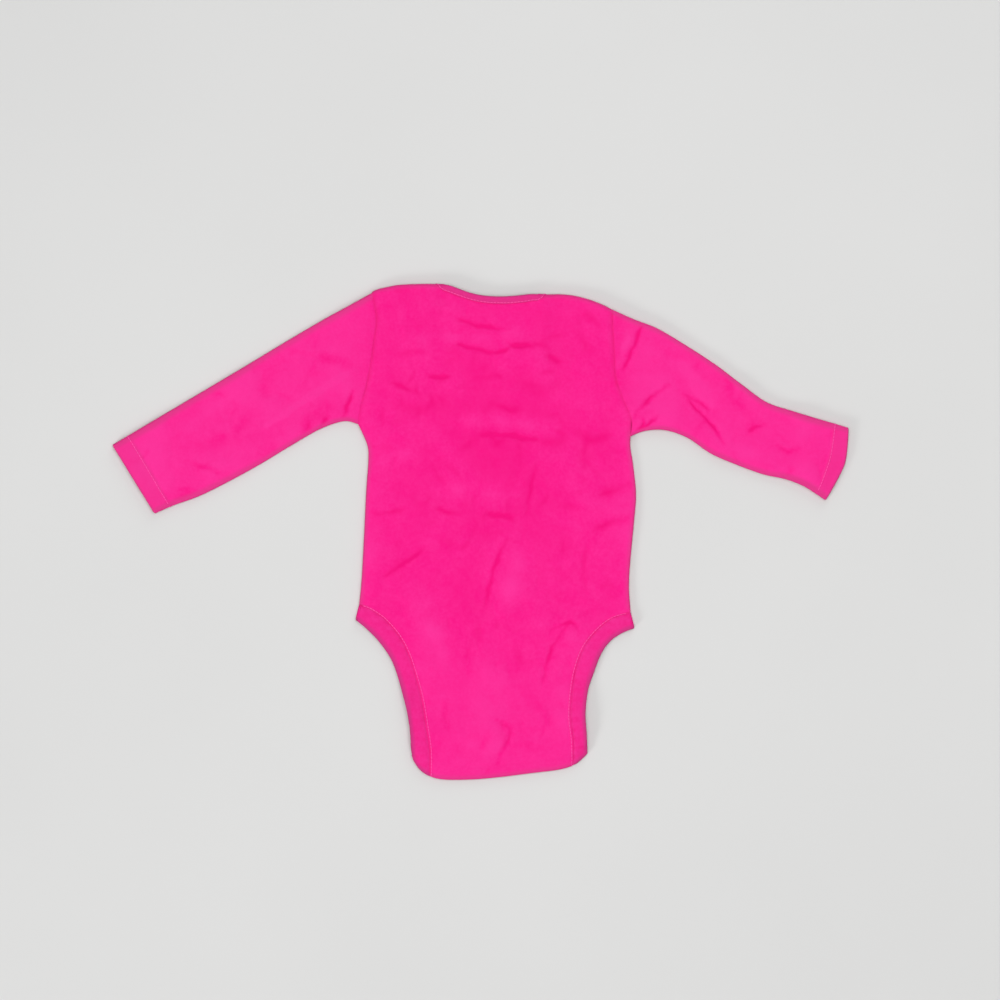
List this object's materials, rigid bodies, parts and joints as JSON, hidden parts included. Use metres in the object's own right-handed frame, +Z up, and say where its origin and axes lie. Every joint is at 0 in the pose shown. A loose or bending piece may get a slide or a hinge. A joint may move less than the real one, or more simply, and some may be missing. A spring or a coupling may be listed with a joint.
{
  "type": "baby bodysuit",
  "caption": "Long-sleeved cotton baby bodysuit with lap shoulders and a snapped crotch, laid flat on its front with its back up.",
  "frame": {"origin": "on the floor, under the middle of the laid-out garment", "axes": "+X to the right as seen from above, across both sleeves; +Y towards the neck; +Z up, out of the back"},
  "size_m": [0.6242, 0.4201, 0.0069],
  "materials": {
    "jersey": "matte knit",
    "binding": "matte knit",
    "snap": "nickel plated"
  },
  "bodies": {
    "root": {"back_panel": "jersey", "front_panel": "jersey", "sleeve_left": "jersey", "sleeve_right": "jersey", "leg_band_left": "binding", "leg_band_right": "binding", "neck_band_back": "binding", "neck_band_front": "binding", "snap_socket_1": "snap", "snap_stud_1": "snap", "snap_socket_2": "snap", "snap_stud_2": "snap", "snap_socket_3": "snap", "snap_stud_3": "snap"}
  },
  "joints": []
}
